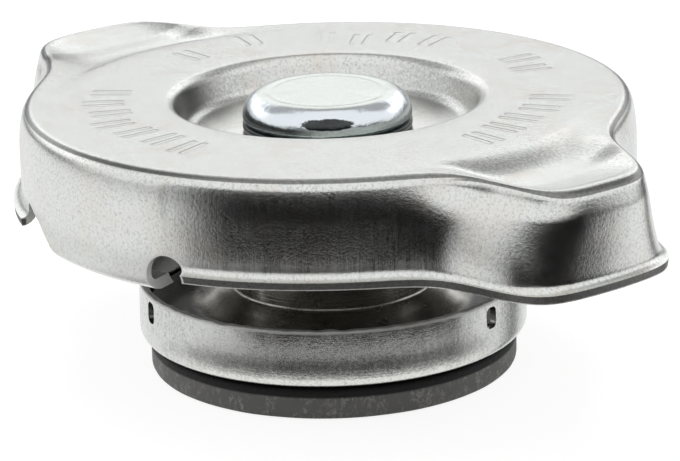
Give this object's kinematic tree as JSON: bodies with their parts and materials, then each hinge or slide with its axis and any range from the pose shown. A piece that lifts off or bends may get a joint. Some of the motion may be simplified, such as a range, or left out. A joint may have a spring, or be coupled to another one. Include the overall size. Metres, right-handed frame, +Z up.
{
  "type": "radiator cap",
  "caption": "Round pressure cap with ears for a filler neck, with locking lugs, a sprung pressure valve in a cup and a small vacuum valve.",
  "frame": {"origin": "on the cap's axis, at the underside of the lower seal, which it stands on", "axes": "+Z up along the cap's axis, towards the rivet head; +X towards one ear of the cover"},
  "size_m": [0.088, 0.0644, 0.0295],
  "materials": {
    "satin_steel": "pressed stainless sheet, satin on top and brighter on the skirt",
    "cup_steel": "drawn steel, satin with fine turning lines",
    "zinc_steel": "bright zinc plate, slightly blue",
    "dark_steel": "dark oiled steel",
    "plain_steel": "plain rolled steel sheet",
    "spring_steel": "drawn spring steel",
    "brass": "turned brass",
    "black_rubber": "matte moulded rubber with worn specks"
  },
  "bodies": {
    "stem": {"centre_rivet": "zinc_steel", "head_washer": "dark_steel", "friction_washer": "plain_steel", "sprung_diaphragm": "spring_steel", "neck_gasket": "black_rubber", "gasket_ring": "plain_steel", "spring_housing": "plain_steel", "tail_washer": "plain_steel", "pressure_spring": "spring_steel"},
    "cover": {"cover_shell": "satin_steel"},
    "valve": {"valve_cup": "cup_steel", "lower_seal": "black_rubber", "seal_retainer": "plain_steel", "spring_seat": "plain_steel", "vacuum_spring": "spring_steel"},
    "vacuum": {"vacuum_valve": "brass", "vacuum_seal": "black_rubber", "vacuum_spring_cap": "plain_steel"}
  },
  "joints": [
    {"name": "cover_turn", "type": "hinge", "parent": "stem", "child": "cover", "pos_m": [0, 0, 0.0255], "axis": [0, 0, 1], "continuous": true},
    {"name": "pressure_lift", "type": "slide", "parent": "stem", "child": "valve", "axis": [0, 0, 1], "range_m": [0, 0.0014], "stiffness_N_per_m": 1500, "springref_m": -0.0016, "deforming": ["pressure_spring"]},
    {"name": "vacuum_open", "type": "slide", "parent": "valve", "child": "vacuum", "axis": [0, 0, -1], "range_m": [0, 0.0009], "stiffness_N_per_m": 100, "springref_m": -0.0005, "deforming": ["vacuum_spring"]}
  ]
}
